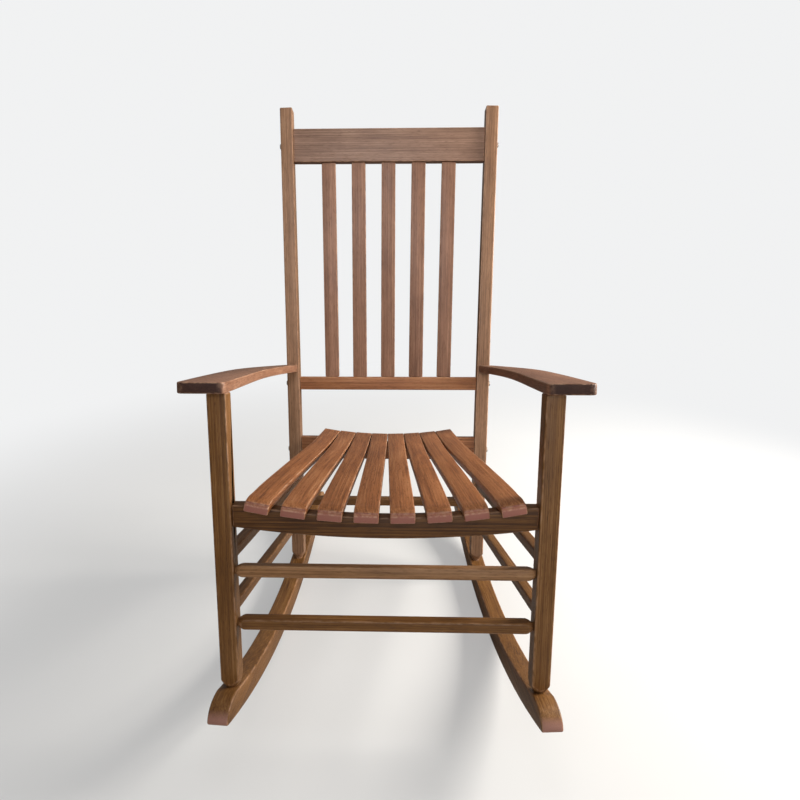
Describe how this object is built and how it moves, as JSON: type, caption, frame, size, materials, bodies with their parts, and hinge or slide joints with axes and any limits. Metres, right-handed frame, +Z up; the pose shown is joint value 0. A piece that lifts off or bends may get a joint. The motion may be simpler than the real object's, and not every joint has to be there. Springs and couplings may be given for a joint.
{
  "type": "rocking chair",
  "caption": "Slatted hardwood rocking chair with bowed flat arms, a fanned scooped seat, a tall slatted back, double stretchers and curved runners",
  "frame": {"origin": "on the floor, under the middle of the whole chair's bounding box", "axes": "+Z up, the sitter faces -Y, +X is the sitter's left; the chair is symmetric about X = 0"},
  "size_m": [0.677, 0.91, 1.1619],
  "materials": {
    "frame_wood": "oiled brown hardwood, satin",
    "slat_wood": "oiled red-brown hardwood, satin",
    "hardware": "dull zinc-plated steel"
  },
  "bodies": {
    "root": {"rocker_left": "frame_wood", "rocker_right": "frame_wood", "front_leg_left": "frame_wood", "front_leg_right": "frame_wood", "back_post_left": "frame_wood", "back_post_right": "frame_wood", "arm_left": "frame_wood", "arm_right": "frame_wood", "front_seat_rail": "frame_wood", "rear_seat_rail": "frame_wood", "crest_rail": "frame_wood", "lower_back_rail": "frame_wood", "front_stretcher_upper": "frame_wood", "front_stretcher_lower": "frame_wood", "side_stretcher_upper_left": "frame_wood", "side_stretcher_upper_right": "frame_wood", "side_stretcher_lower_left": "frame_wood", "side_stretcher_lower_right": "frame_wood", "rear_stretcher": "frame_wood", "seat_slat_1": "slat_wood", "seat_slat_2": "slat_wood", "seat_slat_3": "slat_wood", "seat_slat_4": "slat_wood", "seat_slat_5": "slat_wood", "seat_slat_6": "slat_wood", "seat_slat_7": "slat_wood", "seat_slat_8": "slat_wood", "back_slat_1": "slat_wood", "back_slat_2": "slat_wood", "back_slat_3": "slat_wood", "back_slat_4": "slat_wood", "back_slat_5": "slat_wood", "bolt_crest_left": "hardware", "bolt_crest_right": "hardware", "barrel_nut_crest_left": "hardware", "barrel_nut_crest_right": "hardware", "bolt_lower_back_left": "hardware", "bolt_lower_back_right": "hardware", "barrel_nut_lower_back_left": "hardware", "barrel_nut_lower_back_right": "hardware", "bolt_rear_seat_left": "hardware", "bolt_rear_seat_right": "hardware", "barrel_nut_rear_seat_left": "hardware", "barrel_nut_rear_seat_right": "hardware"}
  },
  "joints": []
}
